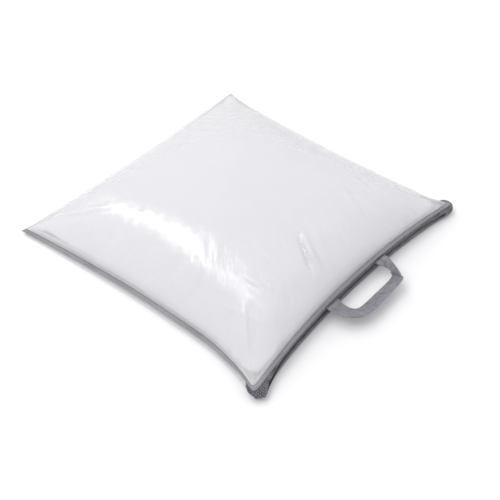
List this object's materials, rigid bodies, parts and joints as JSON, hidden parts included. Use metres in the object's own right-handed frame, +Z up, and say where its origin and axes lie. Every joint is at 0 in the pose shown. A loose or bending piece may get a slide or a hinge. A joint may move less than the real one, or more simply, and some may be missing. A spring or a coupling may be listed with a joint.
{
  "type": "bed pillow",
  "caption": "Square fibre-filled bed pillow packed in a clear film carry bag with taped seams, a zipped fabric wall and a webbing handle.",
  "frame": {"origin": "on the underside, below the middle of the square pillow", "axes": "+Z up from the surface it lies on, -Y towards the zip wall and its handle, +X along that wall towards the end where the bag opens last"},
  "size_m": [0.611, 0.651, 0.1018],
  "materials": {
    "film": "clear glossy soft film, slightly wrinkled",
    "ticking": "fine plain-woven white cotton",
    "fibre": "loose white polyester fibre",
    "tape": "folded grey non-woven tape with a line of stitching",
    "gusset": "dark grey diagonal weave",
    "webbing": "flat grey polypropylene webbing, satin",
    "coil": "satin polyester coil",
    "zip_metal": "bright plated die casting",
    "thread": "twisted sewing thread",
    "label": "blank white satin ribbon"
  },
  "bodies": {
    "bag": {"fibre_fill": "fibre", "ticking_top": "ticking", "ticking_bottom": "ticking", "ticking_seam": "ticking", "care_label": "label", "film_top": "film", "film_bottom": "film", "binding_left": "tape", "binding_right": "tape", "binding_back": "tape", "binding_front_upper": "tape", "binding_front_lower": "tape", "gusset_panel": "gusset", "zip_coil_upper": "coil", "zip_coil_lower": "coil", "zip_tape_upper": "gusset", "zip_tape_lower": "gusset", "zip_stop_closed_end": "zip_metal", "zip_stop_open_end": "zip_metal", "handle_end_left": "webbing", "handle_tack_left": "thread", "handle_end_right": "webbing", "handle_tack_right": "thread"},
    "slider": {"zip_slider": "zip_metal"},
    "pull_tab": {"zip_pull_tab": "zip_metal"},
    "handle": {"handle_strap": "webbing"}
  },
  "joints": [
    {"name": "handle_swing", "type": "hinge", "parent": "bag", "child": "handle", "pos_m": [0, -0.287, 0.0278], "axis": [-1, 0, 0], "range_deg": [-8, 100]},
    {"name": "zip_travel", "type": "hinge", "parent": "bag", "child": "slider", "pos_m": [0, -2.19944, 0.0145], "axis": [0, 0, -1], "range_deg": [0, 15.87]},
    {"name": "pull_tab_turn", "type": "hinge", "parent": "slider", "child": "pull_tab", "pos_m": [-0.2653, -0.2963, 0.0145], "axis": [0, 0, 1], "range_deg": [0, 175]}
  ]
}
